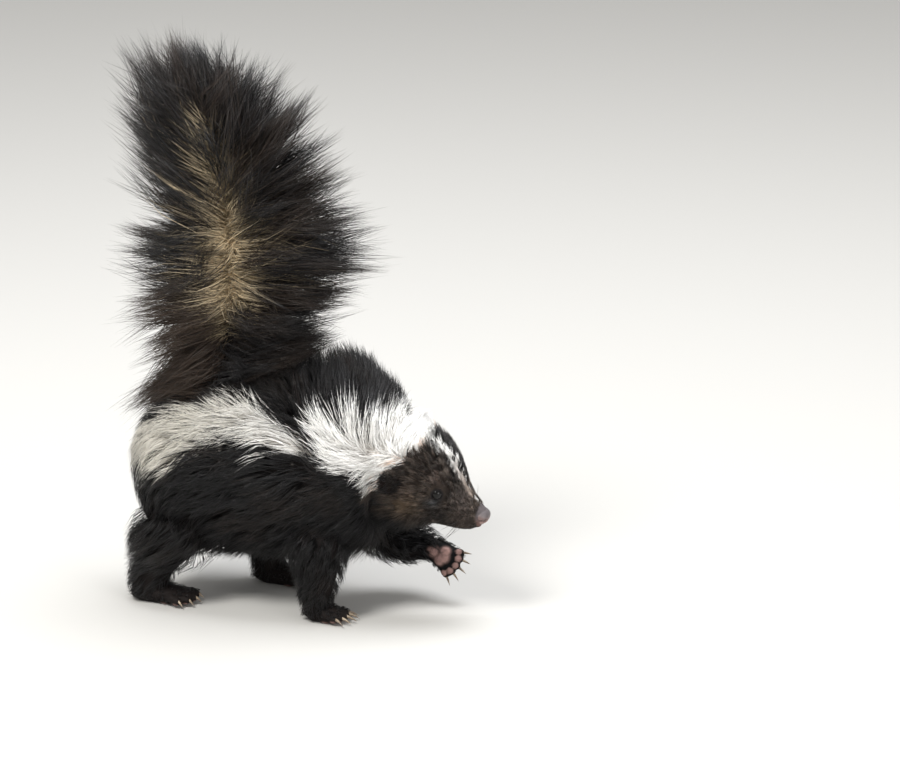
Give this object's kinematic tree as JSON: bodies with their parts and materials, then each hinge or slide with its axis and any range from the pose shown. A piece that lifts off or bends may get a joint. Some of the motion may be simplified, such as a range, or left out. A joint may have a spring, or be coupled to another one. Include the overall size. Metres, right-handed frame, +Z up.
{
  "type": "striped skunk",
  "caption": "Life-size still model of a striped skunk walking with its bushy tail raised upright and one forepaw lifted.",
  "frame": {"origin": "middle of the bounding box, on the floor that the three standing feet rest on", "axes": "+Z up; +X the way the animal faces and walks; +Y its left side"},
  "size_m": [0.3418, 0.183, 0.4926],
  "materials": {
    "black_fur": "long black coat with a faint blue-grey sheen",
    "white_fur": "long white coat, creamier to the rear",
    "tail_fur": "very long black-brown hair with cream bases",
    "face_fur": "short grey-brown fur",
    "eye": "wet, glossy black",
    "bare_skin": "bare pinkish-grey skin with a soft gloss",
    "claw": "horn, semi-gloss"
  },
  "bodies": {
    "root": {"head": "face_fur", "neck": "white_fur", "torso": "black_fur", "tail": "tail_fur", "leg_fore_left": "black_fur", "leg_fore_right": "black_fur", "leg_hind_left": "black_fur", "leg_hind_right": "black_fur", "ear_left": "face_fur", "ear_right": "face_fur", "eye_left": "eye", "eye_right": "eye", "nose": "bare_skin"}
  },
  "joints": []
}
